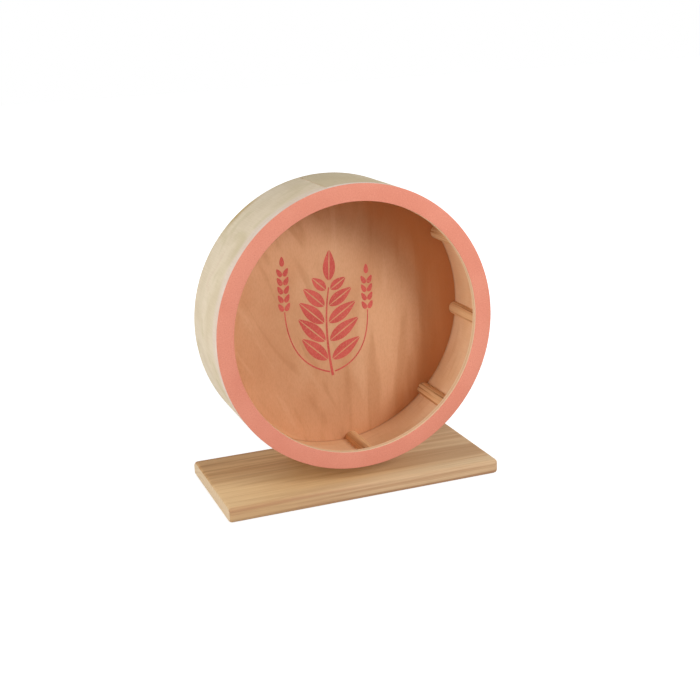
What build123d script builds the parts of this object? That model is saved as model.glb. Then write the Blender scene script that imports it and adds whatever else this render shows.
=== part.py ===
from build123d import *
import os
from math import cos, degrees, radians, sin, sqrt

# A wooden exercise wheel for small rodents: an open drum that turns on a bolt
# in two ball bearings, which sit in an upright behind the drum on a board base.
# Millimetres. +Z is up, the wheel turns about +Y and its open side faces -Y.
# The origin is the centre of the base board's underside.

# Base board
base_width = 204.0
base_depth = 100.0
base_thickness = 11.0
base_edge_radius = 3.0

# Drum of the wheel
wheel_radius = 100.0
wheel_depth = 61.5
wheel_floor_gap = 10.6
front_setback = 5.4
ring_width = 12.0
ring_thickness = 5.0
wall_thickness = 2.5
back_disc_thickness = 6.0
back_disc_inset = 1.8
glue_line = 0.1

# Half-lapped seam of the bent drum wall: its outer end shows at the top, left of the middle
seam_angle = 100.0
seam_gap = 0.4
lap_length = 16.0

# Half-round rungs: an even pitch, and how many degrees each one was glued off it
rung_count = 9
rung_start_angle = -84.5
rung_width = 9.8
rung_height = 4.7
rung_slips = (0.5, 0.0, -0.5, -4.5, -2.0, 1.0, -1.5, -1.0, 2.0)

# Hub plate glued behind the back disc
hub_diameter = 56.0
hub_thickness = 8.0

# Axle: a hex bolt with its head trapped in the hub plate, a spacer, a washer and a lock nut
bolt_diameter = 6.0
bolt_length = 30.0
bolt_head_flats = 10.0
bolt_head_height = 4.0
hub_spacer_diameter = 9.5
hub_spacer_thickness = 2.0
washer_diameter = 11.0
washer_thickness = 1.6
washer_play = 0.2
nut_flats = 10.0
nut_hex_height = 4.4
nut_collar_diameter = 9.2
nut_collar_height = 1.6
nut_collar_wall = 0.8
nut_insert_recess = 0.3
fit_clearance = 0.05

# Shielded ball bearings, one in each face of the upright, with a sleeve between their inner rings
bearing_diameter = 19.0
bearing_width = 6.0
inner_ring_wall = 1.9
outer_ring_wall = 1.55
pocket_shoulder = 1.9
shield_recess = 0.3
shield_rub_gap = 0.25
sleeve_wall = 1.2

# Upright behind the wheel
upright_width = 60.0
upright_thickness = 16.0
upright_edge_chamfer = 1.5

# Wood screws up through the base into the upright, their flat heads sunk in counterbores
screw_spacing = 36.0
screw_diameter = 4.0
screw_length = 30.0
screw_head_diameter = 8.0
screw_head_height = 2.5
screw_head_sink = 1.0
screw_play = 0.1
blind_hole_gap = 0.5

# Places along the axle that follow from the sizes above
axle_height = base_thickness + wheel_floor_gap + wheel_radius
wheel_front = front_setback - base_depth / 2
ring_back = wheel_front + ring_thickness
drum_back = wheel_front + wheel_depth
disc_back = drum_back - back_disc_inset
disc_front = disc_back - back_disc_thickness
bolt_head_front = disc_back + glue_line
bolt_head_back = bolt_head_front + bolt_head_height
hub_back = disc_back + hub_thickness
upright_front = hub_back + hub_spacer_thickness
upright_back = upright_front + upright_thickness
upright_middle = (upright_front + upright_back) / 2
front_pocket_floor = upright_front + bearing_width
rear_pocket_floor = upright_back - bearing_width
washer_back = upright_back + washer_thickness
nut_shoulder = washer_back + nut_hex_height
nut_back = nut_shoulder + nut_collar_height

# Radii that fit each other
wall_inner_radius = wheel_radius - wall_thickness
glued_radius = wall_inner_radius - glue_line
rung_seat = sqrt(glued_radius**2 - (rung_width / 2) ** 2)
bore_radius = bolt_diameter / 2
bolt_radius = bore_radius - fit_clearance
bearing_radius = bearing_diameter / 2
inner_ring_radius = bore_radius + inner_ring_wall
shield_radius = bearing_radius - outer_ring_wall
collar_radius = nut_collar_diameter / 2

# Where the repeated pieces lie
rung_angles = [rung_start_angle + i * 360 / rung_count + rung_slips[i] for i in range(rung_count)]
screw_places = [(side * screw_spacing / 2, upright_middle) for side in (-1, 1)]
bearing_faces = {
    "front": (upright_front, front_pocket_floor),
    "rear": (upright_back, rear_pocket_floor),
}

# The wheel's axis, and the plane that holds it, where x runs along the axle and y up from it
axle_axis = Axis((0, 0, axle_height), (0, 1, 0))
side_view = Plane(origin=(0, 0, axle_height), x_dir=(0, 1, 0), z_dir=(1, 0, 0))


def facing_front(y, turn=0.0):
    """A plane across the axle, centred on it, that looks out of the open side, turned by an angle."""
    x_dir = (cos(radians(turn)), 0, sin(radians(turn)))
    return Plane(origin=(0, y, axle_height), x_dir=x_dir, z_dir=(0, -1, 0))


def facing_back(y):
    """A plane across the axle, centred on it, that looks towards the upright."""
    return Plane(origin=(0, y, axle_height), x_dir=(-1, 0, 0), z_dir=(0, 1, 0))


def facing_down(x, y, z):
    """A level plane that looks down, so that holes in it are drilled upwards."""
    return Plane(origin=(x, y, z), x_dir=(1, 0, 0), z_dir=(0, 0, -1))


def outline(*corners):
    """A closed face through its corners."""
    with BuildLine() as border:
        Polyline(*corners, close=True)
    make_face(border.edges())


def ring_section(start, end, inner_radius, outer_radius):
    """Half section of a plain ring about the axle, between two places along it."""
    outline((start, inner_radius), (start, outer_radius), (end, outer_radius), (end, inner_radius))


def arc_band(inner_radius, outer_radius, start_angle, end_angle, mode):
    """A stretch of a band round the sketch's centre."""
    with BuildLine() as border:
        outer = CenterArc((0, 0), outer_radius, start_angle, end_angle - start_angle)
        inner = CenterArc((0, 0), inner_radius, start_angle, end_angle - start_angle)
        Line(outer @ 0, inner @ 0)
        Line(outer @ 1, inner @ 1)
    make_face(border.edges(), mode=mode)


def save(piece, name):
    """Labels a finished piece and writes it as its own STEP file."""
    piece.part.label = name
    export_step(piece.part, f"parts/{name}.step")


os.makedirs("parts", exist_ok=True)

# Base board, all its edges rounded, with counterbored screw holes from below
with BuildPart() as base_board:
    Box(base_width, base_depth, base_thickness, align=(Align.CENTER, Align.CENTER, Align.MIN))
    fillet(base_board.edges(), base_edge_radius)
    for x, y in screw_places:
        with Locations(facing_down(x, y, 0)):
            CounterBoreHole(
                screw_diameter / 2 + screw_play,
                screw_head_diameter / 2 + screw_play,
                screw_head_sink + screw_head_height,
            )
save(base_board, "base_board")

# Upright, round at the top about the axle, with a pocket for a bearing in each face
with BuildPart() as upright:
    post_height = axle_height - base_thickness
    with BuildSketch(facing_front(upright_back)):
        Circle(upright_width / 2)
        with Locations((0, -post_height / 2)):
            Rectangle(upright_width, post_height)
    extrude(amount=upright_thickness)
    broad_faces = upright.faces().filter_by(Axis.Y)
    foot_face = upright.faces().sort_by(Axis.Z)[0]
    chamfer(broad_faces.edges() - foot_face.edges(), upright_edge_chamfer)
    for face_plane in (facing_front(upright_front), facing_back(upright_back)):
        with Locations(face_plane):
            Hole(bearing_radius + fit_clearance, depth=bearing_width)
    with Locations(facing_front(upright_front)):
        Hole(bearing_radius - pocket_shoulder)
    pilot_depth = screw_head_sink + screw_head_height + screw_length - base_thickness + blind_hole_gap
    for x, y in screw_places:
        with Locations(facing_down(x, y, base_thickness)):
            Hole(screw_diameter / 2 + screw_play, depth=pilot_depth)
save(upright, "upright")

# Wood screws that hold the upright
with BuildPart() as upright_screws:
    for x, y in screw_places:
        with BuildSketch(Plane(origin=(x, y, screw_head_sink))):
            Circle(screw_head_diameter / 2)
        extrude(amount=screw_head_height)
        with BuildSketch(Plane(origin=(x, y, screw_head_sink + screw_head_height))):
            Circle(screw_diameter / 2)
        extrude(amount=screw_length)
save(upright_screws, "upright_screws")

# Painted ring round the open side
with BuildPart() as front_ring:
    with BuildSketch(facing_front(ring_back)):
        Circle(wheel_radius)
        Circle(wheel_radius - ring_width, mode=Mode.SUBTRACT)
    extrude(amount=ring_thickness)
save(front_ring, "front_ring")

# Drum wall: one bent strip, whose two ends are halved and glued over each other
lap_angle = degrees(lap_length / wheel_radius)
half_gap_angle = degrees(seam_gap / wheel_radius) / 2
lap_radius = wheel_radius - wall_thickness / 2
lap_inner_radius = lap_radius - glue_line / 2
lap_outer_radius = lap_radius + glue_line / 2
inner_end_angle = seam_angle + lap_angle
with BuildPart() as drum_wall:
    with BuildSketch(facing_front(drum_back)):
        Circle(wheel_radius)
        Circle(wall_inner_radius, mode=Mode.SUBTRACT)
        arc_band(lap_inner_radius, lap_outer_radius, seam_angle, inner_end_angle, Mode.SUBTRACT)
        for end_angle, inside, outside in (
            (seam_angle, lap_inner_radius, wheel_radius),
            (inner_end_angle, wall_inner_radius, lap_outer_radius),
        ):
            arc_band(inside, outside, end_angle - half_gap_angle, end_angle + half_gap_angle, Mode.SUBTRACT)
    extrude(amount=drum_back - ring_back)
save(drum_wall, "drum_wall")

# Back disc, set a little into the drum wall
with BuildPart() as back_disc:
    with BuildSketch(facing_back(disc_front)):
        Circle(glued_radius)
    extrude(amount=back_disc_thickness)
save(back_disc, "back_disc")

# Rungs, flat side against the wall, from the ring to the disc
half_rung = rung_width / 2
for number, angle in enumerate(rung_angles, start=1):
    with BuildPart() as rung:
        with BuildSketch(facing_front(disc_front, angle)):
            with BuildLine():
                ThreePointArc((rung_seat, -half_rung), (rung_seat - rung_height, 0), (rung_seat, half_rung))
                Line((rung_seat, half_rung), (rung_seat, -half_rung))
            make_face()
        extrude(amount=disc_front - ring_back)
    save(rung, f"rung_{number}")

# Hub plate, with a hex pocket for the bolt's head in the face that is glued to the disc
with BuildPart() as hub_plate:
    with BuildSketch(facing_back(disc_back)):
        Circle(hub_diameter / 2)
    extrude(amount=hub_thickness)
    with BuildSketch(facing_back(disc_back)):
        RegularPolygon(bolt_head_flats / 2 + fit_clearance, side_count=6, major_radius=False)
    extrude(amount=bolt_head_back - disc_back, mode=Mode.SUBTRACT)
    with Locations(facing_back(hub_back)):
        Hole(bore_radius)
save(hub_plate, "hub_plate")

# Axle bolt
with BuildPart() as axle_bolt:
    with BuildSketch(facing_back(bolt_head_front)):
        RegularPolygon(bolt_head_flats / 2, side_count=6, major_radius=False)
    extrude(amount=bolt_head_height)
    with BuildSketch(facing_back(bolt_head_back)):
        Circle(bolt_radius)
    extrude(amount=bolt_length)
save(axle_bolt, "axle_bolt")

# Spacer between hub plate and front bearing, which meets the inner ring alone
with BuildPart() as hub_spacer:
    with BuildSketch(side_view):
        ring_section(hub_back, upright_front, bore_radius, hub_spacer_diameter / 2)
    revolve(axis=axle_axis)
save(hub_spacer, "hub_spacer")

# The bearings: an outer ring closed by its shields stays in the upright, an inner ring turns with the axle
for place, (outside, inside) in bearing_faces.items():
    shield_face = outside + shield_recess * (inside - outside) / bearing_width
    shield_inner_radius = inner_ring_radius + shield_rub_gap

    with BuildPart() as outer_ring:
        with BuildSketch(side_view):
            outline(
                (outside, shield_radius),
                (outside, bearing_radius),
                (inside, bearing_radius),
                (inside, shield_inner_radius),
                (shield_face, shield_inner_radius),
                (shield_face, shield_radius),
            )
        revolve(axis=axle_axis)
    save(outer_ring, f"{place}_bearing_outer_ring")

    with BuildPart() as inner_ring:
        with BuildSketch(side_view):
            ring_section(outside, inside, bore_radius, inner_ring_radius)
        revolve(axis=axle_axis)
    save(inner_ring, f"{place}_bearing_inner_ring")

# Sleeve that keeps the two inner rings apart
with BuildPart() as bearing_sleeve:
    with BuildSketch(side_view):
        ring_section(front_pocket_floor, rear_pocket_floor, bore_radius, bore_radius + sleeve_wall)
    revolve(axis=axle_axis)
save(bearing_sleeve, "bearing_sleeve")

# Washer under the lock nut
with BuildPart() as rear_washer:
    with BuildSketch(side_view):
        ring_section(upright_back, washer_back, bore_radius + washer_play, washer_diameter / 2)
    revolve(axis=axle_axis)
save(rear_washer, "rear_washer")

# Lock nut, with a round collar that holds the nylon insert
with BuildPart() as lock_nut:
    with BuildSketch(facing_back(washer_back)):
        RegularPolygon(nut_flats / 2, side_count=6, major_radius=False)
    extrude(amount=nut_hex_height)
    with Locations(facing_back(nut_shoulder)):
        Hole(bore_radius)
    with BuildSketch(side_view):
        ring_section(nut_shoulder, nut_back, collar_radius - nut_collar_wall, collar_radius)
    revolve(axis=axle_axis)
save(lock_nut, "lock_nut")

# Nylon insert in the nut's collar
with BuildPart() as lock_nut_insert:
    with BuildSketch(side_view):
        ring_section(
            nut_shoulder,
            nut_back - nut_insert_recess,
            bore_radius,
            collar_radius - nut_collar_wall - fit_clearance,
        )
    revolve(axis=axle_axis)
save(lock_nut_insert, "lock_nut_insert")
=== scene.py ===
import math

import bmesh
import bpy
from mathutils import Matrix, Vector


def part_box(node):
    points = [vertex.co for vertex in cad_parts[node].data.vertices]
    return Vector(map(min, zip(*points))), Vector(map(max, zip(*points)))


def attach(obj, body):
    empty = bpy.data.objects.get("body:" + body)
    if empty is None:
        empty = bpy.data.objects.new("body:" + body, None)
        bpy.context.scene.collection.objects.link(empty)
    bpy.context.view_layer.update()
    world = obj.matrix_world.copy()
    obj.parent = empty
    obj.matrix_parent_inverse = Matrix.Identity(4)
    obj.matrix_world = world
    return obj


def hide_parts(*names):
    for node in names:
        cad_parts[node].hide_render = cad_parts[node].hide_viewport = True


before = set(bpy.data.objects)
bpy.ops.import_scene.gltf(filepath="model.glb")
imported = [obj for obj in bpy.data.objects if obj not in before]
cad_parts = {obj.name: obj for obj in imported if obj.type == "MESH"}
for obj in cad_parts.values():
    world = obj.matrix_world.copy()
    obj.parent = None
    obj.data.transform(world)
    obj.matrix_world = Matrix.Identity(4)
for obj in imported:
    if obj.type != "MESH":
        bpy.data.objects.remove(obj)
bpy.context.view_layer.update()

# A wooden exercise wheel for small rodents. Sizes are in millimetres: +Z is up, the wheel
# turns about +Y, its open side faces -Y, and the origin is under the middle of the base board.
# Materials read places in metres.
MM = 0.001

# Drum
wheel_radius = 100.0
axle_height = 121.6
ring_width = 12.0
wall_thickness = 2.5
disc_radius = 97.48
seam_angle = 100.0
seam_gap = 0.4
lap_angle = 9.17
lap_split = 1.25
glue_line = 0.1

# Half-round rungs and where each one is glued, in degrees round the axle
rung_width = 9.8
rung_height = 4.7
rung_seat = 97.28
rung_angles = (-84.0, -44.5, -5.0, 31.0, 73.5, 116.5, 154.0, 194.5, 237.5)
rung_end_ease = 0.25
rung_end_shrink = 0.94

# Stand
base_size = (204.0, 100.0, 11.0)
base_edge_radius = 3.0
upright_width = 60.0
upright_edge_radius = 1.5

# Wood screws up through the board, their heads sunk into it
screw_places = ((-18.0, 33.1), (18.0, 33.1))
screw_radius = 2.0
screw_head_radius = 4.0
screw_head_bottom = 1.0
screw_head_top = 3.5
screw_play = 0.1
recess_turn = 0.4

# Bearings, one in a pocket of each face of the upright
bearing_radius = 9.5
bearing_width = 6.0
bearing_play = 0.05
pocket_shoulder = 1.9
race_radius = 4.9
race_bore = 3.02
shield_seat = 8.0
shield_rim, shield_dish, shield_fold, shield_edge = 7.8, 7.3, 6.9, 5.2
shield_shallow, shield_deep = 0.35, 0.6

# Axle and what turns on it
axle_bore = 3.05
hub_diameter = 56.0
hub_pocket_radius = 5.9
flats_radius = 5.0
bolt_radius = 2.95
bolt_head_height = 4.0
bolt_shank = 12.0
bolt_tip = 0.45
thread_pitch = 1.0
thread_depth = 0.55
nut_hex_height = 4.4
nut_corner_radius = 6.0
nut_face_radius = 4.75
nut_bore = 3.0
collar_foot_radius = 4.6
collar_radius = 4.55
collar_bore = 3.8
collar_lip = 0.35

# How far a boolean cutter runs past the face it cuts
cut_past = 1.0


def span(node):
    """Where a node starts and ends along the axle, in millimetres."""
    low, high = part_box(node)
    return low.y / MM, high.y / MM


ring_front, ring_back = span("front_ring")
wall_front, wall_back = span("drum_wall")
disc_front, disc_back = span("back_disc")
hub_front, hub_back = span("hub_plate")
upright_front, upright_back = span("upright")
bolt_head, bolt_end = span("axle_bolt")
nut_front, nut_back = span("lock_nut")


# Mesh helpers

def linear(red, green, blue):
    """A colour given as it looks on a screen, 0 to 255, as a linear one."""
    levels = [level / 255 for level in (red, green, blue)]
    return [v / 12.92 if v <= 0.04045 else ((v + 0.055) / 1.055) ** 2.4 for v in levels] + [1.0]


def rounded(corners, radius, steps):
    """A closed outline through the corners, each of them rounded off."""
    points = []
    for i, corner in enumerate(corners):
        here = Vector(corner)
        back = Vector(corners[i - 1]) - here
        ahead = Vector(corners[(i + 1) % len(corners)]) - here
        reach = min(radius / math.tan(back.angle(ahead) / 2), back.length * 0.49, ahead.length * 0.49)
        start = here + back.normalized() * reach
        end = here + ahead.normalized() * reach
        for k in range(steps + 1):
            t = k / steps
            points.append(start.lerp(here, t).lerp(here.lerp(end, t), t))
    return [tuple(point) for point in points]


def linked(thing):
    bpy.context.scene.collection.objects.link(thing)
    return thing


def bare(name, points, faces):
    """A mesh object from points in millimetres, its seams closed and its faces turned outwards."""
    mesh = bpy.data.meshes.new(name)
    mesh.from_pydata([Vector(point) * MM for point in points], [], faces)
    work = bmesh.new()
    work.from_mesh(mesh)
    bmesh.ops.remove_doubles(work, verts=work.verts, dist=1e-7)
    bmesh.ops.recalc_face_normals(work, faces=work.faces)
    work.to_mesh(mesh)
    work.free()
    return linked(bpy.data.objects.new(name, mesh))


def dress(thing, body, replaced, materials, pick=None, sharp=35.0):
    """Shades an object, gives it its materials and its body, and hides the CAD nodes it stands for."""
    mesh = thing.data
    mesh.materials.clear()
    for material in materials:
        mesh.materials.append(material)
    for polygon in mesh.polygons:
        polygon.use_smooth = True
        polygon.material_index = pick(polygon.center / MM, polygon.normal) if pick else 0
    mesh.set_sharp_from_angle(angle=math.radians(sharp))
    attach(thing, body)
    if replaced:
        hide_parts(*replaced)


def piece(name, points, faces, body, replaced, materials, pick=None, sharp=35.0):
    """A dressed piece from points in millimetres."""
    dress(bare(name, points, faces), body, replaced, materials, pick, sharp)


def face_or_edge(centre, normal):
    """Picks the first material for a disc's flat faces and the second for its edge."""
    return 0 if abs(normal.y) > 0.7 else 1


def ring_section(start, end, inner, outer):
    """Corners of a plain ring's (along, radius) section."""
    return ((start, inner), (start, outer), (end, outer), (end, inner))


def disc_section(start, end, radius, edge):
    """Section of a solid disc with its two outer edges rounded off."""
    steps = 3
    each = steps + 1
    corners = ring_section(start, end, 0.0, radius)
    outer_edges = rounded(corners, edge, steps)[each:3 * each]
    return [corners[0], *outer_edges, corners[3]]


def sweep(sections, closed):
    """Points and faces of a tube through sections with the same number of points."""
    count = len(sections[0])
    points = [point for section in sections for point in section]
    faces = []
    for i in range(len(sections) if closed else len(sections) - 1):
        here = i * count
        there = (i + 1) % len(sections) * count
        for k in range(count):
            n = (k + 1) % count
            faces.append((here + k, here + n, there + n, there + k))
    if not closed:
        faces.append(tuple(range(count)))
        faces.append(tuple(range(len(points) - count, len(points))))
    return points, faces


def about_axle(along, radius, angle):
    """A point round the axle, angle in radians from +X towards +Z."""
    return (radius * math.cos(angle), along, axle_height + radius * math.sin(angle))


def turned(section, segments, shape=None):
    """A closed (along, radius) section turned about the axle; shape may change the radius with the angle."""
    rings = []
    for i in range(segments):
        angle = math.tau * i / segments
        rings.append([about_axle(y, shape(y, r, angle) if shape else r, angle) for y, r in section])
    return sweep(rings, closed=True)


def upright_plug(x, y, section):
    """A closed (height, radius) section turned about a vertical line."""
    segments = 48
    rings = []
    for i in range(segments):
        angle = math.tau * i / segments
        rings.append([(x + r * math.cos(angle), y + r * math.sin(angle), z) for z, r in section])
    return sweep(rings, closed=True)


def hex_radius(angle):
    """Distance from the axle to a hexagon's side, with flats at the top and bottom."""
    return flats_radius / math.cos((angle + math.pi / 6) % (math.pi / 3) - math.pi / 6)


def drill(target, cutters):
    """Cuts the cutters out of the target and bakes the result into its mesh."""
    for cutter in cutters:
        cut = target.modifiers.new("cut", "BOOLEAN")
        cut.operation = "DIFFERENCE"
        cut.solver = "EXACT"
        cut.object = cutter
    bpy.context.view_layer.update()
    solid = target.evaluated_get(bpy.context.evaluated_depsgraph_get())
    mesh = bpy.data.meshes.new_from_object(solid)
    target.modifiers.clear()
    target.data = mesh
    for cutter in cutters:
        bpy.data.objects.remove(cutter)


# Material helpers

class Finish:
    """The nodes of one procedural material, which all read places on the object in metres."""

    def __init__(self, name):
        self.material = bpy.data.materials.new(name)
        self.material.use_nodes = True
        self.tree = self.material.node_tree
        self.shader = self.tree.nodes["Principled BSDF"]
        self.place = self.add("ShaderNodeTexCoord").outputs["Object"]

    def add(self, kind, inputs=None, **settings):
        node = self.tree.nodes.new(kind)
        for key, value in settings.items():
            setattr(node, key, value)
        for key, value in (inputs or {}).items():
            self.feed(node.inputs[key], value)
        return node

    def feed(self, socket, value):
        if isinstance(value, bpy.types.NodeSocket):
            self.tree.links.new(value, socket)
        else:
            socket.default_value = value

    def stretched(self, scale, shift=(0.0, 0.0, 0.0), turn=(0.0, 0.0, 0.0), of=None):
        inputs = {"Vector": of or self.place, "Location": shift, "Rotation": turn, "Scale": scale}
        return self.add("ShaderNodeMapping", inputs).outputs[0]

    def noise(self, vector, scale, detail, roughness, distortion=0.0):
        inputs = {
            "Vector": vector,
            "Scale": scale,
            "Detail": detail,
            "Roughness": roughness,
            "Distortion": distortion,
        }
        return self.add("ShaderNodeTexNoise", inputs).outputs["Fac"]

    def rings(self, vector, axis, spacing, distortion):
        """Growth rings round an axis; a wave texture of scale 1 turns through 20 radians a metre."""
        scale = math.tau / 20 / spacing
        inputs = {"Vector": vector, "Scale": scale, "Distortion": distortion, "Detail": 2.0}
        settings = {"wave_type": "RINGS", "rings_direction": axis}
        return self.add("ShaderNodeTexWave", inputs, **settings).outputs["Fac"]

    def maths(self, operation, first, second=0.0):
        return self.add("ShaderNodeMath", {0: first, 1: second}, operation=operation).outputs[0]

    def plus(self, first, second):
        return self.maths("ADD", first, second)

    def minus(self, first, second):
        return self.maths("SUBTRACT", first, second)

    def times(self, first, second):
        return self.maths("MULTIPLY", first, second)

    def hypot(self, first, second):
        return self.maths("SQRT", self.plus(self.times(first, first), self.times(second, second)))

    def shared(self, first, second, share):
        """The first value by its share, and the second by what is left."""
        return self.plus(self.times(first, share), self.times(second, 1 - share))

    def between(self, value, low, high, out_low=0.0, out_high=1.0):
        inputs = {
            "Value": value,
            "From Min": low,
            "From Max": high,
            "To Min": out_low,
            "To Max": out_high,
        }
        return self.add("ShaderNodeMapRange", inputs, interpolation_type="SMOOTHSTEP").outputs[0]

    def parts(self, vector):
        return self.add("ShaderNodeSeparateXYZ", {"Vector": vector}).outputs

    def mixed(self, amount, first, second, mode="MIX"):
        node = self.add("ShaderNodeMix", data_type="RGBA", blend_type=mode)
        for socket, value in ((0, amount), (6, first), (7, second)):
            self.feed(node.inputs[socket], value)
        return node.outputs[2]

    def tinted(self, colour, value, low, high, most, tint):
        """A colour that takes on up to most of a tint as the value goes from low to high."""
        return self.mixed(self.between(value, low, high, 0.0, most), colour, linear(*tint))

    def two_tone(self, value, low, high, first, second, most=1.0):
        return self.tinted(linear(*first), value, low, high, most, second)

    def toned(self, colour, value, low, shade, high):
        """A colour under a faint shade where the value is low."""
        node = self.add("ShaderNodeValToRGB", {"Fac": value})
        for mark, place, tone in zip(node.color_ramp.elements, (low, high), (shade, (255, 255, 255))):
            mark.position = place
            mark.color = linear(*tone)
        return self.mixed(1.0, colour, node.outputs["Color"], "MULTIPLY")

    def from_axle(self):
        """Distance from the wheel's axis, in metres."""
        x, _, z = self.parts(self.place)
        return self.hypot(x, self.minus(z, axle_height * MM))

    def unrolled(self):
        """The drum's wall laid flat: length round the axle from opposite the seam, and place along it."""
        x, y, z = self.parts(self.place)
        height = self.minus(z, axle_height * MM)
        turn = math.radians(seam_angle + 180)
        c, s = math.cos(turn), math.sin(turn)
        u = self.plus(self.times(x, c), self.times(height, s))
        v = self.minus(self.times(height, c), self.times(x, s))
        length = self.times(self.maths("ARCTAN2", v, u), wheel_radius * MM)
        return self.add("ShaderNodeCombineXYZ", {"X": length, "Y": y, "Z": 0.0}).outputs[0]

    def done(self, colour, roughness, height, depth, metallic=0.0, gloss=0.2):
        """Feeds the shader; depth is how deep the relief is, in millimetres."""
        bump = self.add("ShaderNodeBump", {"Height": height, "Distance": depth * MM, "Strength": 1.0})
        self.feed(self.shader.inputs["Base Color"], colour)
        self.feed(self.shader.inputs["Roughness"], roughness)
        self.feed(self.shader.inputs["Normal"], bump.outputs["Normal"])
        self.shader.inputs["Metallic"].default_value = metallic
        self.shader.inputs["Specular IOR Level"].default_value = gloss
        return self.material


def softwood(name, along, pith, spacing, colours, knots=1.0, fine=1.0, lines=0.62):
    """Solid softwood: growth rings round a line along one axis, drawn out into streaks along it."""
    finish = Finish(name)
    long_scale = [0.07 if axis == along else 1.0 for axis in "XYZ"]
    shift = [-value * MM * long_scale[i] for i, value in enumerate(pith)]
    lain = finish.stretched(long_scale, shift)
    rings = finish.rings(lain, along, spacing * MM, 5.0 * knots)
    broad = finish.noise(lain, 42.0, 3.0, 0.55, 0.4)
    fibre_scale = [0.02 if axis == along else 1.0 for axis in "XYZ"]
    fibre_place = finish.stretched(fibre_scale)
    fibre = finish.noise(fibre_place, 1300.0 * fine, 3.0, 0.65)
    streak = finish.noise(fibre_place, 330.0 * fine, 4.0, 0.6)
    early, middle, late, brown = colours
    late_share = finish.times(finish.between(rings, 0.45, 1.0), 0.75)
    colour = finish.mixed(late_share, linear(*early), linear(*middle))
    colour = finish.tinted(colour, streak, 0.50, 0.70, lines, late)
    colour = finish.tinted(colour, broad, 0.47, 0.68, 0.75, brown)
    colour = finish.toned(colour, fibre, 0.25, (226, 222, 216), 0.75)
    roughness = finish.between(fibre, 0.2, 0.8, 0.62, 0.5)
    return finish.done(colour, roughness, finish.shared(fibre, rings, 0.6), 0.10)


def make_base_wood():
    """Honey-coloured board: brown streaks in its rear half, partly painted shade, a light band along the
    front, and a painted shadow of the wheel.
    """
    finish = Finish("base_wood")
    x, y, _ = finish.parts(finish.place)
    lain = finish.stretched((0.06, 1.0, 1.0), (0.0, -0.018, 0.052), (0.0, 0.012, 0.0))
    rings = finish.rings(lain, "X", 5.2 * MM, 4.5)
    lines_place = finish.stretched((0.045, 1.0, 1.0), turn=(0.0, 0.0, 0.015))
    grain = finish.noise(lines_place, 150.0, 5.0, 0.66, 0.4)
    fibre_place = finish.stretched((0.018, 1.0, 1.0))
    fibre = finish.noise(fibre_place, 1200.0, 3.0, 0.65)
    streak = finish.noise(fibre_place, 300.0, 4.0, 0.6, 0.3)
    broad = finish.noise(finish.stretched((0.05, 1.0, 1.0)), 48.0, 3.0, 0.5, 0.5)

    # Honey in front and brown behind: darker streaky wood, and partly painted shade under and behind the
    # wheel
    honey = finish.two_tone(rings, 0.35, 1.0, (242, 206, 156), (228, 188, 138), 0.25)
    honey = finish.tinted(honey, grain, 0.48, 0.66, 0.45, (214, 168, 120))
    honey = finish.tinted(honey, streak, 0.55, 0.74, 0.3, (200, 150, 106))
    brown = finish.two_tone(grain, 0.42, 0.6, (228, 182, 128), (198, 146, 92), 0.8)
    brown = finish.tinted(brown, streak, 0.50, 0.70, 0.45, (168, 118, 72))
    rear = finish.between(finish.plus(y, finish.times(broad, 0.05)), 0.0, 0.045)
    colour = finish.mixed(rear, honey, brown)

    # Pinker to the right, and painted shade darkening the rear corner there under the wheel
    right = finish.between(x, -0.03, 0.09)
    pink = finish.two_tone(grain, 0.44, 0.62, (240, 204, 164), (220, 176, 136))
    colour = finish.mixed(finish.times(right, 0.6), colour, pink)
    corner = finish.times(right, finish.between(y, 0.0, 0.045))
    colour = finish.mixed(finish.times(corner, 0.6), colour, linear(188, 144, 100))

    # A light band along the front, and a painted shadow of the wheel on the board behind it
    far = finish.plus(y, finish.times(broad, 0.012))
    band = finish.times(finish.between(far, -0.029, -0.037), finish.between(x, -0.075, 0.01))
    colour = finish.mixed(finish.times(band, 0.7), colour, linear(248, 218, 176))
    behind = finish.times(finish.between(far, -0.03, -0.024), finish.between(far, -0.002, -0.012))
    behind = finish.times(behind, finish.between(x, -0.03, 0.03))
    colour = finish.mixed(finish.times(behind, 0.5), colour, linear(196, 148, 104))

    # Streaked front face
    face = finish.between(y, -0.0470, -0.0495, 0.0, 0.8)
    face_streak = finish.between(streak, 0.40, 0.64, 0.35, 1.0)
    colour = finish.mixed(finish.times(face, face_streak), colour, linear(192, 140, 102))
    colour = finish.toned(colour, fibre, 0.25, (232, 226, 220), 0.75)
    roughness = finish.between(fibre, 0.2, 0.8, 0.66, 0.54)
    return finish.done(colour, roughness, finish.shared(fibre, rings, 0.6), 0.10)


def make_end_grain():
    """Sawn ends of the board: paler, with the growth rings cut across."""
    finish = Finish("base_end_grain")
    lain = finish.stretched((0.3, 1.0, 1.0), (0.0, -0.018, 0.052))
    rings = finish.rings(lain, "X", 3.0 * MM, 1.5)
    speck = finish.noise(finish.place, 1500.0, 3.0, 0.7)
    blotch = finish.noise(finish.place, 120.0, 2.0, 0.5)
    colour = finish.two_tone(rings, 0.3, 1.0, (240, 212, 174), (216, 180, 138), 0.35)
    colour = finish.tinted(colour, speck, 0.45, 0.75, 0.4, (198, 158, 118))
    colour = finish.tinted(colour, blotch, 0.4, 0.7, 0.3, (236, 210, 176))
    return finish.done(colour, finish.between(speck, 0.3, 0.7, 0.75, 0.6), speck, 0.15)


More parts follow.
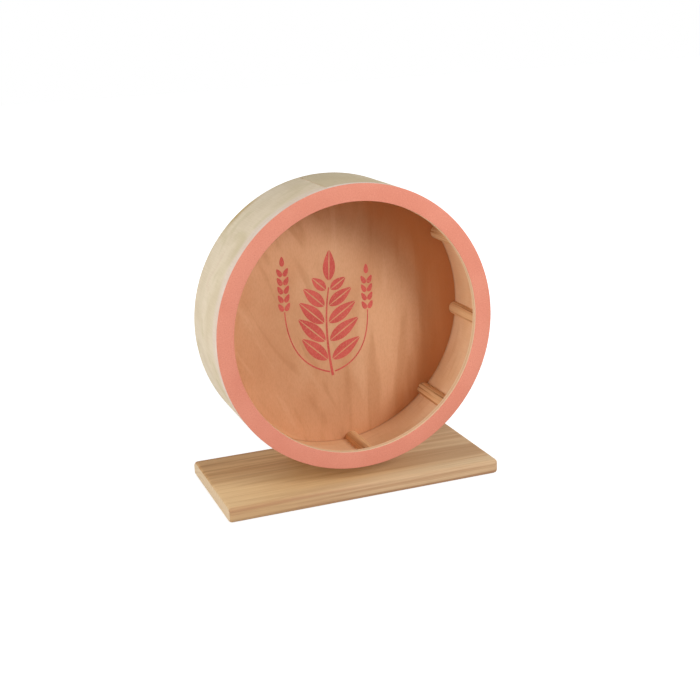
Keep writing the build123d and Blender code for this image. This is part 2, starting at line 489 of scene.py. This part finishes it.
def make_disc_veneer():
    """Veneer of the back disc: warm tan, softly clouded, with painted shade darker and redder towards its
    upper right edge.
    """
    finish = Finish("back_disc_veneer")
    x, _, z = finish.parts(finish.place)
    leaning = finish.stretched((1.0, 1.0, 1.0), turn=(0.0, math.radians(27), 0.0))
    drawn = finish.stretched((1.0, 1.0, 0.16), of=leaning)
    upright = finish.stretched((1.0, 1.0, 0.13), turn=(0.0, math.radians(-9), 0.0))
    left = finish.between(x, 0.015, -0.035)
    bands = finish.noise(drawn, 75.0, 3.0, 0.5, 0.8)
    streaks = finish.noise(upright, 70.0, 3.0, 0.5, 0.4)
    figure = finish.plus(finish.times(bands, left), finish.times(streaks, finish.minus(1.0, left)))
    cloud = finish.noise(finish.stretched((1.0, 1.0, 0.7)), 22.0, 2.0, 0.45, 0.5)
    pore = finish.noise(finish.stretched((1.0, 1.0, 0.3)), 1400.0, 2.0, 0.6)
    colour = finish.two_tone(cloud, 0.35, 0.68, (233, 179, 137), (222, 164, 121))
    colour = finish.tinted(colour, figure, 0.52, 0.66, 0.42, (200, 140, 95))
    colour = finish.tinted(colour, figure, 0.44, 0.32, 0.45, (240, 190, 148))
    colour = finish.toned(colour, pore, 0.3, (248, 244, 240), 0.6)

    # A darker flame with a pale rim crosses the lower left; its edge leans, and passes near one point
    lean_x, lean_z = 0.61, 0.79
    flame_x, flame_z = -73.4 * MM, (axle_height - 58.6) * MM
    flame_start = 0.006 - lean_x * flame_x - lean_z * flame_z
    slant = finish.plus(finish.times(x, -lean_x), finish.times(z, -lean_z))
    slant = finish.minus(finish.plus(slant, finish.times(cloud, 0.012)), flame_start)
    flame = finish.times(finish.between(slant, 0.0, 0.003, 0.0, 0.75), finish.between(x, 0.0, -0.03))
    off_rim = finish.maths("ABSOLUTE", finish.plus(slant, 0.0008))
    rim = finish.times(finish.between(off_rim, 0.0004, 0.0022, 0.45, 0.0), finish.between(x, -0.01, -0.03))
    colour = finish.mixed(flame, colour, linear(204, 142, 96))
    colour = finish.mixed(rim, colour, linear(242, 196, 152))

    # Painted shade: the darker, redder edge is a crescent, far from a point left of the axle and below it
    over = finish.plus(x, 22.0 * MM)
    above = finish.minus(z, (axle_height - 14.0) * MM)
    off = finish.plus(finish.hypot(over, above), finish.times(figure, 0.02))
    colour = finish.tinted(colour, off, 0.088, 0.122, 0.85, (206, 132, 78))
    return finish.done(colour, finish.between(pore, 0.3, 0.7, 0.72, 0.6), pore, 0.04)


def make_outer_veneer():
    """Outside of the bent wall: cream, mottled grey-green, greyer on the strip's end beyond the seam."""
    finish = Finish("drum_outer_veneer")
    flat = finish.unrolled()
    round_it, along, _ = finish.parts(flat)
    mottle = finish.noise(finish.stretched((0.8, 1.0, 1.0), of=flat), 30.0, 2.0, 0.5, 0.5)
    vein = finish.noise(finish.stretched((0.75, 1.0, 1.0), of=flat), 48.0, 2.0, 0.5, 1.0)
    fibre = finish.noise(finish.stretched((1.0, 0.04, 1.0), of=flat), 1500.0, 2.0, 0.6)
    colour = finish.two_tone(mottle, 0.4, 0.66, (244, 227, 199), (234, 216, 184))
    colour = finish.tinted(colour, vein, 0.52, 0.68, 0.5, (222, 206, 165))
    colour = finish.tinted(colour, vein, 0.42, 0.30, 0.35, (236, 212, 184))

    # Painted light: a pale, pinkish glow on the wall beside the ring
    edge = finish.plus(along, finish.times(mottle, 0.006))
    front = finish.between(edge, (ring_back + 4.0) * MM, (ring_back + 11.0) * MM, 0.8, 0.0)
    colour = finish.mixed(front, colour, linear(247, 228, 212))

    # Unrolled, the seam is at half a turn; the wall just beyond it, to the right, is the greyer end
    seam = math.pi * wheel_radius * MM
    colour = finish.tinted(colour, round_it, seam - 0.075, seam - 0.035, 0.8, (204, 186, 148))
    colour = finish.tinted(colour, round_it, -seam + 0.06, -seam, 0.3, (206, 186, 156))

    # A darker rear edge, with one stain on it
    rear_start, rear_end = (wall_back - 1.4) * MM, (wall_back - 0.3) * MM
    colour = finish.tinted(colour, along, rear_start, rear_end, 0.6, (170, 146, 100))
    stain_off = seam - math.radians(27) * wheel_radius * MM
    stain_round = finish.maths("ABSOLUTE", finish.plus(round_it, stain_off))
    stain = finish.times(
        finish.between(stain_round, 0.004, 0.022, 1.0, 0.0),
        finish.between(along, (wall_back - 9.0) * MM, wall_back * MM, 0.0, 0.9),
    )
    colour = finish.mixed(stain, colour, linear(184, 150, 62))
    colour = finish.toned(colour, fibre, 0.25, (246, 245, 242), 0.75)
    return finish.done(colour, finish.between(fibre, 0.3, 0.7, 0.66, 0.54), fibre, 0.06)


def make_inner_veneer():
    """Inside of the bent wall: tan, with fine streaks round it and short pores along the axle."""
    finish = Finish("drum_inner_veneer")
    flat = finish.unrolled()
    streak = finish.noise(finish.stretched((0.12, 1.0, 1.0), of=flat), 230.0, 3.0, 0.6, 0.6)
    cloud = finish.noise(finish.stretched((0.5, 1.0, 1.0), of=flat), 40.0, 3.0, 0.55, 0.8)
    pore = finish.noise(finish.stretched((1.0, 0.05, 1.0), of=flat), 1700.0, 2.0, 0.6)
    colour = finish.two_tone(cloud, 0.35, 0.7, (248, 210, 170), (240, 198, 154))
    colour = finish.tinted(colour, streak, 0.52, 0.75, 0.4, (224, 174, 128))
    colour = finish.toned(colour, pore, 0.3, (250, 247, 244), 0.65)
    along = finish.parts(finish.place)[1]
    # Painted shade: darker over the last 3 mm towards the disc, in the corner where the wall meets it
    colour = finish.tinted(colour, along, (disc_front - 3.0) * MM, disc_front * MM, 0.4, (170, 106, 64))
    return finish.done(colour, finish.between(pore, 0.3, 0.7, 0.66, 0.55), pore, 0.025)


def make_ply_edge(name, first, thickness, plies, across):
    """Cut edge of plywood: plies stacked along the axle or out from it, with dark glue lines."""
    finish = Finish(name)
    depth = finish.parts(finish.place)[1] if across == "axle" else finish.from_axle()
    share = finish.maths("DIVIDE", finish.minus(depth, first * MM), thickness * MM)
    wobble = finish.noise(finish.place, 90.0, 2.0, 0.5)
    share = finish.plus(share, finish.times(finish.minus(wobble, 0.5), 0.03))
    ply = finish.times(share, float(plies))
    glue = finish.maths("ABSOLUTE", finish.minus(finish.maths("FRACT", ply), 0.5))
    odd = finish.maths("FRACT", finish.times(ply, 0.5))
    speck = finish.noise(finish.place, 1400.0, 3.0, 0.7)
    colour = finish.two_tone(odd, 0.48, 0.52, (250, 226, 190), (240, 208, 168))
    colour = finish.tinted(colour, glue, 0.44, 0.49, 0.25, (190, 144, 100))
    colour = finish.tinted(colour, speck, 0.5, 0.75, 0.35, (206, 166, 124))
    return finish.done(colour, finish.between(speck, 0.3, 0.7, 0.78, 0.62), speck, 0.10)


def make_ring_rim():
    """Sanded outer edge of the ring: pale and slightly pink beside the paint."""
    finish = Finish("ring_rim")
    cloud = finish.noise(finish.unrolled(), 60.0, 2.0, 0.5)
    speck = finish.noise(finish.place, 1400.0, 3.0, 0.7)
    along = finish.parts(finish.place)[1]
    colour = finish.two_tone(cloud, 0.35, 0.7, (248, 230, 214), (240, 220, 200))
    bleed = finish.between(along, (ring_front + 0.3) * MM, (ring_front + 1.0) * MM, 0.35, 0.0)
    colour = finish.mixed(bleed, colour, linear(238, 170, 146))
    joint_start, joint_end = (ring_back - 0.45) * MM, (ring_back - 0.1) * MM
    colour = finish.tinted(colour, along, joint_start, joint_end, 0.25, (196, 168, 140))
    colour = finish.tinted(colour, speck, 0.5, 0.75, 0.2, (214, 188, 162))
    return finish.done(colour, finish.between(speck, 0.3, 0.7, 0.76, 0.64), speck, 0.08)


def make_coral_paint():
    """Matt coral paint, thin enough to show a fine speckle of the wood."""
    finish = Finish("coral_paint")
    speckle = finish.noise(finish.place, 1100.0, 3.0, 0.7)
    cloud = finish.noise(finish.place, 26.0, 3.0, 0.5)
    roller = finish.noise(finish.place, 420.0, 2.0, 0.5)
    colour = finish.two_tone(cloud, 0.35, 0.65, (240, 154, 129), (235, 147, 122))
    colour = finish.tinted(colour, speckle, 0.5, 0.7, 0.6, (222, 132, 110))
    colour = finish.tinted(colour, speckle, 0.44, 0.3, 0.6, (250, 174, 150))
    roughness = finish.between(roller, 0.3, 0.7, 0.6, 0.5)
    return finish.done(colour, roughness, finish.shared(speckle, roller, 0.5), 0.08)


def make_print_ink():
    """Red screen-print ink, a little uneven where the veneer's pores took it up."""
    finish = Finish("print_ink")
    pore = finish.noise(finish.stretched((1.0, 1.0, 0.6)), 1100.0, 3.0, 0.7)
    cloud = finish.noise(finish.place, 60.0, 2.0, 0.5)
    colour = finish.two_tone(cloud, 0.35, 0.65, (222, 100, 90), (210, 88, 80))
    colour = finish.tinted(colour, pore, 0.50, 0.66, 0.65, (226, 138, 112))
    return finish.done(colour, finish.between(pore, 0.3, 0.7, 0.6, 0.48), pore, 0.05)


def make_metal(name, bright, dull, roughness, scale, depth):
    """Bare or plated metal with fine turning marks and faint clouding."""
    finish = Finish(name)
    marks = finish.noise(finish.stretched((0.3, 1.0, 0.3)), scale, 3.0, 0.6)
    cloud = finish.noise(finish.place, 300.0, 3.0, 0.6)
    colour = finish.two_tone(cloud, 0.35, 0.7, bright, dull)
    rough = finish.between(marks, 0.3, 0.7, roughness - 0.06, roughness + 0.08)
    return finish.done(colour, rough, marks, depth, metallic=1.0, gloss=0.5)


def make_nylon():
    """Natural nylon of the lock nut's insert."""
    finish = Finish("nylon")
    cloud = finish.noise(finish.place, 500.0, 2.0, 0.5)
    colour = finish.two_tone(cloud, 0.3, 0.7, (232, 232, 222), (216, 216, 204))
    return finish.done(colour, finish.between(cloud, 0.3, 0.7, 0.5, 0.38), cloud, 0.04)


base_wood = make_base_wood()
base_end = make_end_grain()
disc_veneer = make_disc_veneer()
outer_veneer = make_outer_veneer()
inner_veneer = make_inner_veneer()
ring_edge = make_ply_edge("ring_ply_edge", ring_front, ring_back - ring_front, 3, "axle")
disc_edge = make_ply_edge("disc_ply_edge", disc_front, disc_back - disc_front, 5, "axle")
hub_edge = make_ply_edge("hub_ply_edge", hub_front, hub_back - hub_front, 5, "axle")
wall_edge = make_ply_edge("wall_ply_edge", wheel_radius - wall_thickness, wall_thickness, 3, "radius")
ring_rim = make_ring_rim()
coral_paint = make_coral_paint()
print_ink = make_print_ink()
zinc = make_metal("zinc_plated_steel", (214, 218, 220), (188, 194, 200), 0.3, 3000.0, 0.02)
ground_steel = make_metal("ground_bearing_steel", (206, 206, 208), (184, 184, 188), 0.2, 5000.0, 0.01)
nylon = make_nylon()
rung_colours = ((246, 204, 154), (238, 190, 140), (172, 106, 56), (236, 190, 142))
rung_wood = softwood("rung_wood", "Y", (40.0, 0.0, 90.0), 3.2, rung_colours, 0.6, 1.7, 0.95)
upright_colours = ((222, 182, 134), (202, 158, 110), (164, 118, 78), (190, 144, 100))
upright_wood = softwood("upright_wood", "Z", (12.0, 90.0, 0.0), 4.6, upright_colours)
hub_colours = ((226, 172, 130), (208, 150, 108), (182, 124, 84), (216, 158, 118))
hub_wood = softwood("hub_veneer", "Z", (-10.0, 70.0, 0.0), 5.0, hub_colours)


# Drum

def make_front_ring():
    """Flat ring, painted on its face, with a bare inner edge and a sanded outer one."""
    corners = ring_section(ring_front, ring_back, wheel_radius - ring_width, wheel_radius)
    points, faces = turned(rounded(corners, 0.5, 3), 288)

    def pick(centre, normal):
        if normal.y < -0.35:
            return 0
        from_axle = math.hypot(centre.x, centre.z - axle_height)
        return 2 if from_axle > wheel_radius - ring_width / 2 else 1

    piece(
        "front_ring_painted", points, faces, "wheel", ["front_ring"],
        [coral_paint, ring_edge, ring_rim], pick,
    )


def make_drum_wall():
    """The bent strip, swept round the axle from its thinned outer end to its thinned inner end."""
    inner = wheel_radius - wall_thickness
    split = inner + lap_split
    half_gap = math.degrees(seam_gap / wheel_radius) / 2
    start = seam_angle + half_gap
    full = seam_angle + lap_angle + half_gap
    thin = seam_angle + 360 - half_gap
    end = seam_angle + lap_angle + 360 - half_gap
    step = 1.25
    sections = []
    for first, last, low, high in (
        (start, full, split + glue_line / 2, wheel_radius),
        (full, thin, inner, wheel_radius),
        (thin, end, inner, split - glue_line / 2),
    ):
        outline = rounded(ring_section(wall_front, wall_back, low, high), 0.3, 2)
        count = round((last - first) / step)
        for i in range(count + 1):
            angle = math.radians(first + (last - first) * i / count)
            sections.append([about_axle(y, r, angle) for y, r in outline])
    points, faces = sweep(sections, closed=False)

    def pick(centre, normal):
        out = Vector((centre.x, 0, centre.z - axle_height)).normalized()
        outwards = normal.dot(out)
        if abs(normal.y) > 0.5 or abs(outwards) < 0.5:
            return 2
        return 0 if outwards > 0 else 1

    piece(
        "drum_wall_bent", points, faces, "wheel", ["drum_wall"],
        [outer_veneer, inner_veneer, wall_edge], pick,
    )


def make_back_disc():
    """Flat disc with its outer edges eased."""
    points, faces = turned(disc_section(disc_front, disc_back, disc_radius, 0.2), 240)
    piece(
        "back_disc_veneered", points, faces, "wheel", ["back_disc"],
        [disc_veneer, disc_edge], face_or_edge,
    )


def make_rung(number, angle_degrees):
    """A half-round moulding, flat side against the wall, from the ring to the disc."""
    angle = math.radians(angle_degrees)
    out = Vector((math.cos(angle), 0, math.sin(angle)))
    side = Vector((-math.sin(angle), 0, math.cos(angle)))
    half = rung_width / 2
    bulge = (half * half + rung_height * rung_height) / (2 * rung_height)
    half_sweep = math.asin(half / bulge)
    arc_steps = 28
    section = []
    for i in range(arc_steps + 1):
        a = -half_sweep + 2 * half_sweep * i / arc_steps
        section.append((bulge * math.sin(a), rung_height - bulge + bulge * math.cos(a)))

    # Straight between its eased ends
    length = disc_front - ring_back
    straight = length - 2 * rung_end_ease
    spans = 12
    stations = [(0.0, rung_end_shrink)]
    stations += [(rung_end_ease + straight * i / spans, 1.0) for i in range(spans + 1)]
    stations.append((length, rung_end_shrink))
    sections = []
    for depth, shrink in stations:
        ring = []
        for across, up in section:
            place = side * across * shrink + out * (rung_seat - up * shrink)
            ring.append((place.x, ring_back + depth, axle_height + place.z))
        sections.append(ring)
    points, faces = sweep(sections, closed=False)
    name = f"rung_{number}_half_round"
    piece(name, points, faces, "wheel", [f"rung_{number}"], [rung_wood])


make_front_ring()
make_drum_wall()
make_back_disc()
for rung_number, rung_angle in enumerate(rung_angles, start=1):
    make_rung(rung_number, rung_angle)


# Print on the back disc: a leafy sprig between two seed heads

film_back = disc_front - 0.02
film_front = disc_front - 0.07
print_centre = (-4.0, -1.0)
midrib_half_gap = 0.45

# Each pair of leaves: its step up the spine, length and width
leaf_pairs = ((3, 28.0, 4.7), (7, 29.0, 4.8), (11, 27.0, 4.6), (15, 23.0, 4.2), (19, 16.0, 3.3))

# Each seed head: its stalk's start, bend and end, and how many pairs of seeds
seed_heads = (
    ((0.0, -43.0), (-31.0, -34.0), (-32.0, 6.0), 5),
    ((3.8, -43.0), (31.0, -37.0), (31.0, 0.0), 4),
)
seed_pitch = 6.3


def film(outlines):
    """Thin plates of ink from closed outlines about the print's centre, x to the right and z up."""
    points = []
    faces = []
    for outline in outlines:
        count = len(outline)
        start = len(points)
        for y in (film_front, film_back):
            points.extend((x + print_centre[0], y, axle_height + z + print_centre[1]) for x, z in outline)
        faces.append(tuple(start + k for k in range(count)))
        faces.append(tuple(start + count + k for k in reversed(range(count))))
        for k in range(count):
            n = (k + 1) % count
            faces.append((start + k, start + n, start + count + n, start + count + k))
    return points, faces


def half_leaf(base, tip, width, side):
    """One half of a leaf, its straight edge set off from the midrib."""
    start = Vector(base)
    line = Vector(tip) - start
    normal = Vector((-line.y, line.x)).normalized() * side
    gap = midrib_half_gap
    outline = []
    for i in range(17):
        t = i / 16
        outline.append(start + line * t + normal * (gap + width * math.sin(math.pi * t ** 0.8) ** 0.9))
    for i in range(5):
        t = 1 - i / 4
        outline.append(start + line * (0.03 + 0.94 * t) + normal * gap * (0.4 + 0.6 * math.sin(math.pi * t)))
    return [tuple(point) for point in outline]


def leaf(base, tip, width):
    return [half_leaf(base, tip, width, side) for side in (-1, 1)]


def seed(centre, length, width, turn):
    """A pointed seed."""
    outline = []
    for i in range(16):
        a = math.tau * i / 16
        taper = 1 - 0.35 * math.cos(a)
        x = length / 2 * math.cos(a)
        z = width / 2 * math.sin(a) * taper
        outline.append((
            centre[0] + x * math.cos(turn) - z * math.sin(turn),
            centre[1] + x * math.sin(turn) + z * math.cos(turn),
        ))
    return outline


def stem(points, thick, thin):
    """A tapering line through points on a curve."""
    left = []
    right = []
    for i, point in enumerate(points):
        ahead = Vector(points[min(i + 1, len(points) - 1)])
        behind = Vector(points[max(i - 1, 0)])
        normal = (ahead - behind).orthogonal().normalized()
        half = (thick + (thin - thick) * i / (len(points) - 1)) / 2
        left.append(tuple(Vector(point) + normal * half))
        right.append(tuple(Vector(point) - normal * half))
    return left + right[::-1]


def curve(start, middle, end, count):
    a, b, c = Vector(start), Vector(middle), Vector(end)
    return [tuple(a.lerp(b, i / count).lerp(b.lerp(c, i / count), i / count)) for i in range(count + 1)]


def sprig():
    """Leaves in pairs up a bent spine, and one at its top."""
    spine = curve((2.0, -46.0), (-4.0, -8.0), (2.0, 20.0), 20)
    outlines = [stem(spine, 2.0, 1.0)]
    for place, length, width in leaf_pairs:
        base = Vector(spine[place])
        for side in (-1, 1):
            slope = math.radians(38 - side * 5)
            tip = base + Vector((side * math.cos(slope), math.sin(slope))) * length
            foot = base + Vector((side * 1.9, 1.3))
            outlines.extend(leaf(tuple(foot), tuple(tip), width))
    outlines.extend(leaf((2.4, 25.0), (3.6, 47.0), 4.2))
    return outlines


def seed_head(foot, bend, top, count):
    """Pairs of seeds up the end of a thin stalk, and one at its tip."""
    outlines = [stem(curve(foot, bend, top, 16), 1.2, 0.8)]
    for k in range(count):
        place = Vector(top) + Vector((0, 3.6 + k * seed_pitch))
        for side in (-1, 1):
            centre = place + Vector((side * 2.5, 0))
            outlines.append(seed(tuple(centre), 6.6, 3.4, math.pi / 2 - side * 0.5))
    tip = Vector(top) + Vector((0, 5.2 + count * seed_pitch))
    outlines.append(seed(tuple(tip), 7.2, 3.4, math.pi / 2))
    return outlines


def make_print():
    outlines = sprig()
    for foot, bend, top, count in seed_heads:
        outlines.extend(seed_head(foot, bend, top, count))
    points, faces = film(outlines)
    piece("back_disc_print", points, faces, "wheel", [], [print_ink])


make_print()


# Stand

def make_base_board():
    """Planed board with all its edges rounded and two counterbored screw holes."""
    width, depth, thickness = base_size
    mesh = bpy.data.meshes.new("base_board_planed")
    work = bmesh.new()
    bmesh.ops.create_cube(work, size=1.0)
    for vertex in work.verts:
        vertex.co.x *= width * MM
        vertex.co.y *= depth * MM
        vertex.co.z = (vertex.co.z + 0.5) * thickness * MM
    bmesh.ops.bevel(
        work, geom=work.edges[:], offset=base_edge_radius * MM, segments=6, profile=0.5, affect="EDGES"
    )
    work.to_mesh(mesh)
    work.free()
    board = linked(bpy.data.objects.new("base_board_planed", mesh))
    head = screw_head_radius + screw_play
    hole = screw_radius + screw_play
    section = (
        (-cut_past, 0.0),
        (-cut_past, head),
        (screw_head_top, head),
        (screw_head_top, hole),
        (thickness + cut_past, hole),
        (thickness + cut_past, 0.0),
    )
    drill(board, [bare("screw_hole", *upright_plug(x, y, section)) for x, y in screw_places])

    def pick(centre, normal):
        return 1 if abs(normal.x) > 0.75 else 0

    dress(board, "stand", ["base_board"], [base_wood, base_end], pick)


def make_upright():
    """A board on end, round at the top, with a bearing pocket in each face."""
    foot = base_size[2]
    arc_steps = 64
    edge_steps = 4

    def outline(y, inset):
        """The board's outline at one depth, drawn in by an inset but standing on the base."""
        reach = upright_width / 2 - inset
        points = [(-reach, y, foot), (reach, y, foot)]
        for i in range(arc_steps + 1):
            points.append(about_axle(y, reach, math.pi * i / arc_steps))
        return points

    turns = [math.pi / 2 * k / edge_steps for k in range(edge_steps + 1)]
    edge = upright_edge_radius
    eased = [(edge * (1 - math.sin(a)), edge * (1 - math.cos(a))) for a in turns]
    outlines = [outline(upright_front + depth, inset) for depth, inset in reversed(eased)]
    outlines += [outline(upright_back - depth, inset) for depth, inset in eased]
    post = bare("upright_board", *sweep(outlines, closed=False))

    wide = bearing_radius + bearing_play
    narrow = bearing_radius - pocket_shoulder
    pocket = (
        (upright_front - cut_past, 0.0),
        (upright_front - cut_past, wide),
        (upright_front + bearing_width, wide),
        (upright_front + bearing_width, narrow),
        (upright_back - bearing_width, narrow),
        (upright_back - bearing_width, wide),
        (upright_back + cut_past, wide),
        (upright_back + cut_past, 0.0),
    )
    drill(post, [bare("bearing_pockets", *turned(pocket, 96))])
    dress(post, "stand", ["upright"], [upright_wood])


def cross_recess(x, y):
    """Cutters for the two crossed slots of a screw's head, which narrow as they go in."""
    faces = [(0, 1, 2, 3), (4, 5, 6, 7), (0, 1, 5, 4), (1, 2, 6, 5), (2, 3, 7, 6), (3, 0, 4, 7)]
    cutters = []
    for turn in (recess_turn, recess_turn + math.pi / 2):
        points = []
        for z, reach, half in ((0.5, 2.3, 0.5), (2.4, 0.9, 0.3)):
            for a, b in ((-reach, -half), (reach, -half), (reach, half), (-reach, half)):
                points.append((
                    x + a * math.cos(turn) - b * math.sin(turn),
                    y + a * math.sin(turn) + b * math.cos(turn),
                    z,
                ))
        cutters.append(bare("recess", points, faces))
    return cutters


def make_screws():
    """Wood screws: flat heads with a cross recess, seen from below."""
    section = disc_section(screw_head_bottom, screw_head_top, screw_head_radius, 0.35)
    for number, (x, y) in enumerate(screw_places, start=1):
        head = bare(f"upright_screw_{number}", *upright_plug(x, y, section))
        drill(head, cross_recess(x, y))
        dress(head, "stand", ["upright_screws"] if number == 1 else [], [zinc])


def make_bearing(place, outside, inside):
    """A bearing: an outer ring with its pressed shield, and an inner ring, both with eased edges."""
    inwards = math.copysign(1.0, inside - outside)
    near = outside + inwards * shield_shallow
    far = outside + inwards * shield_deep
    outer = (
        (outside, shield_seat),
        (outside, bearing_radius),
        (inside, bearing_radius),
        (inside, shield_edge),
        (near, shield_edge),
        (near, shield_fold),
        (far, shield_dish),
        (far, shield_rim),
    )
    points, faces = turned(rounded(outer, 0.15, 2), 96)
    piece(
        f"{place}_bearing_shielded_ring", points, faces, "stand",
        [f"{place}_bearing_outer_ring"], [ground_steel],
    )
    inner = ring_section(outside, inside, race_bore, race_radius)
    points, faces = turned(rounded(inner, 0.3, 3), 96)
    piece(
        f"{place}_bearing_race", points, faces, "wheel",
        [f"{place}_bearing_inner_ring"], [ground_steel],
    )


def make_hub_plate():
    """Round plate with a pocket for the bolt's head in front and the bolt's hole behind."""
    rim = hub_diameter / 2
    corners = ((hub_front, hub_pocket_radius), (hub_front, rim), (hub_back, rim), (hub_back, axle_bore))
    points, faces = turned(rounded(corners, 0.8, 4), 144)
    piece(
        "hub_plate_turned", points, faces, "wheel", ["hub_plate"],
        [hub_wood, hub_edge], face_or_edge,
    )


def make_bolt():
    """Hex bolt: head in the hub plate, thread towards its end, and a domed tip."""
    head_back = bolt_head + bolt_head_height
    thread_start = head_back + bolt_shank
    rows = [
        (bolt_head, 0.0),
        (bolt_head, flats_radius),
        (head_back, flats_radius),
        (head_back, bolt_radius),
        (thread_start, bolt_radius),
    ]
    y = thread_start
    while y < bolt_end - bolt_tip:
        y += thread_pitch / 8
        rows.append((y, bolt_radius))
    rows += [
        (bolt_end - 0.2, bolt_radius - bolt_tip),
        (bolt_end, bolt_radius - 2 * bolt_tip),
        (bolt_end, 0.0),
    ]

    def shape(y, r, angle):
        if r == flats_radius:
            return hex_radius(angle)
        if r == bolt_radius and thread_start < y < bolt_end - 0.4:
            phase = (y / thread_pitch - angle / math.tau) % 1
            return r - thread_depth * abs(2 * phase - 1)
        return r

    points, faces = turned(rows, 72, shape)
    piece("axle_bolt_threaded", points, faces, "wheel", ["axle_bolt"], [zinc], sharp=50.0)


def make_lock_nut():
    """Hex nut with its corners turned off at both ends and a rolled collar round the insert."""
    hex_back = nut_front + nut_hex_height
    section = (
        (nut_front, nut_bore),
        (nut_front, nut_face_radius),
        (nut_front + 0.6, nut_corner_radius),
        (hex_back - 0.7, nut_corner_radius),
        (hex_back, 4.95),
        (hex_back, collar_foot_radius),
        (nut_back - collar_lip, collar_radius),
        (nut_back, collar_radius - collar_lip),
        (nut_back, 3.9),
        (nut_back - collar_lip, collar_bore),
        (hex_back, collar_bore),
        (hex_back, nut_bore),
    )

    def shape(y, r, angle):
        return min(r, hex_radius(angle)) if r > collar_foot_radius else r

    points, faces = turned(section, 144, shape)
    piece("lock_nut_hex", points, faces, "wheel", ["lock_nut"], [zinc], sharp=25.0)


def make_plain_turning(node, how, inner, outer, edge, material):
    """A plain ring about the axle, with eased edges."""
    section = rounded(ring_section(*span(node), inner, outer), edge, 3)
    points, faces = turned(section, 96)
    piece(f"{node}_{how}", points, faces, "wheel", [node], [material])


make_base_board()
make_upright()
make_screws()
make_bearing("front", upright_front, upright_front + bearing_width)
make_bearing("rear", upright_back, upright_back - bearing_width)
make_hub_plate()
make_bolt()
make_lock_nut()
make_plain_turning("hub_spacer", "turned", axle_bore, 4.75, 0.25, zinc)
make_plain_turning("bearing_sleeve", "turned", axle_bore, 4.2, 0.2, zinc)
make_plain_turning("rear_washer", "stamped", 3.2, 5.5, 0.3, zinc)
make_plain_turning("lock_nut_insert", "moulded", nut_bore, 3.74, 0.15, nylon)


# Floor, white surround and soft light

floor_reach = 4000.0
floor_level = -0.3
white = (1.0, 1.0, 1.0, 1.0)


def seen_directly(tree):
    """One for rays from the camera, a gloss or glass, and nought for those that light the object."""
    path = tree.nodes.new("ShaderNodeLightPath")
    value = path.outputs["Is Camera Ray"]
    for other in ("Is Glossy Ray", "Is Transmission Ray"):
        larger = tree.nodes.new("ShaderNodeMath")
        larger.operation = "MAXIMUM"
        tree.links.new(value, larger.inputs[0])
        tree.links.new(path.outputs[other], larger.inputs[1])
        value = larger.outputs[0]
    return value


def make_floor():
    """A white sheet: it keeps a faint shadow of the object and is white to the eye elsewhere."""
    corners = ((-1, -1), (1, -1), (1, 1), (-1, 1))
    points = [(x * floor_reach, y * floor_reach, floor_level) for x, y in corners]
    floor = bare("floor", points, [(0, 1, 2, 3)])
    finish = Finish("floor_paper")
    paper = finish.noise(finish.place, 300.0, 3.0, 0.6)
    colour = finish.mixed(paper, linear(190, 190, 190), linear(196, 196, 196))
    finish.done(colour, 0.9, paper, 0.02)
    x, y, _ = finish.parts(finish.place)
    level = finish.between(finish.hypot(x, y), 0.2, 0.6, 0.77, 1.0)
    glow = finish.add("ShaderNodeEmission", {"Color": white})
    finish.feed(glow.inputs["Strength"], finish.times(seen_directly(finish.tree), level))
    both = finish.add("ShaderNodeAddShader", {0: finish.shader.outputs["BSDF"], 1: glow.outputs[0]})
    finish.feed(finish.tree.nodes["Material Output"].inputs["Surface"], both.outputs[0])
    floor.data.materials.append(finish.material)


def make_surround(light):
    """Even white light from all round, and plain white where the surround itself is seen."""
    world = bpy.data.worlds.new("surround")
    world.use_nodes = True
    bpy.context.scene.world = world
    tree = world.node_tree
    lit = tree.nodes["Background"]
    seen = tree.nodes.new("ShaderNodeBackground")
    for background, strength in ((lit, light), (seen, 1.0)):
        background.inputs["Color"].default_value = white
        background.inputs["Strength"].default_value = strength
    mix = tree.nodes.new("ShaderNodeMixShader")
    tree.links.new(seen_directly(tree), mix.inputs[0])
    tree.links.new(lit.outputs[0], mix.inputs[1])
    tree.links.new(seen.outputs[0], mix.inputs[2])
    tree.links.new(mix.outputs[0], tree.nodes["World Output"].inputs["Surface"])


def make_lamp(name, towards, distance, size, level):
    """A square soft lamp that lights a facing white surface at the wheel to the given level."""
    lamp = bpy.data.lights.new(name, "AREA")
    lamp.size = size
    lamp.energy = level * math.pi ** 2 * distance ** 2
    holder = linked(bpy.data.objects.new(name, lamp))
    direction = Vector(towards).normalized()
    holder.location = Vector((0, 0, axle_height * MM)) + direction * distance
    holder.rotation_mode = "QUATERNION"
    holder.rotation_quaternion = direction.to_track_quat("Z", "Y")


def make_camera():
    """The photograph's view: in front, to the left and above."""
    camera = bpy.data.cameras.new("camera")
    camera.lens = 62.58
    camera.sensor_width = 36.0
    camera.sensor_fit = "HORIZONTAL"
    camera.clip_start = 0.05
    camera.clip_end = 50.0
    holder = linked(bpy.data.objects.new("camera", camera))
    stands_at = (-0.2795, -0.7943, 0.3403)
    right = Vector((0.9348, -0.3527, -0.0432)).normalized()
    forward = Vector((0.3276, 0.9026, -0.2792)).normalized()
    up = right.cross(forward).normalized()
    right = forward.cross(up)
    turn = Matrix((right, up, -forward)).transposed()
    holder.matrix_world = Matrix.Translation(stands_at) @ turn.to_4x4()
    bpy.context.scene.camera = holder


make_floor()
make_surround(0.3)
make_lamp("key_lamp", (0.6, -0.95, 0.52), 0.95, 0.34, 0.53)
make_lamp("fill_lamp", (-1.0, -0.33, 0.12), 1.3, 0.4, 0.42)
make_lamp("top_lamp", (-0.3, 0.4, 1.0), 1.2, 0.8, 0.17)
make_camera()
bpy.context.scene.view_settings.view_transform = "Standard"
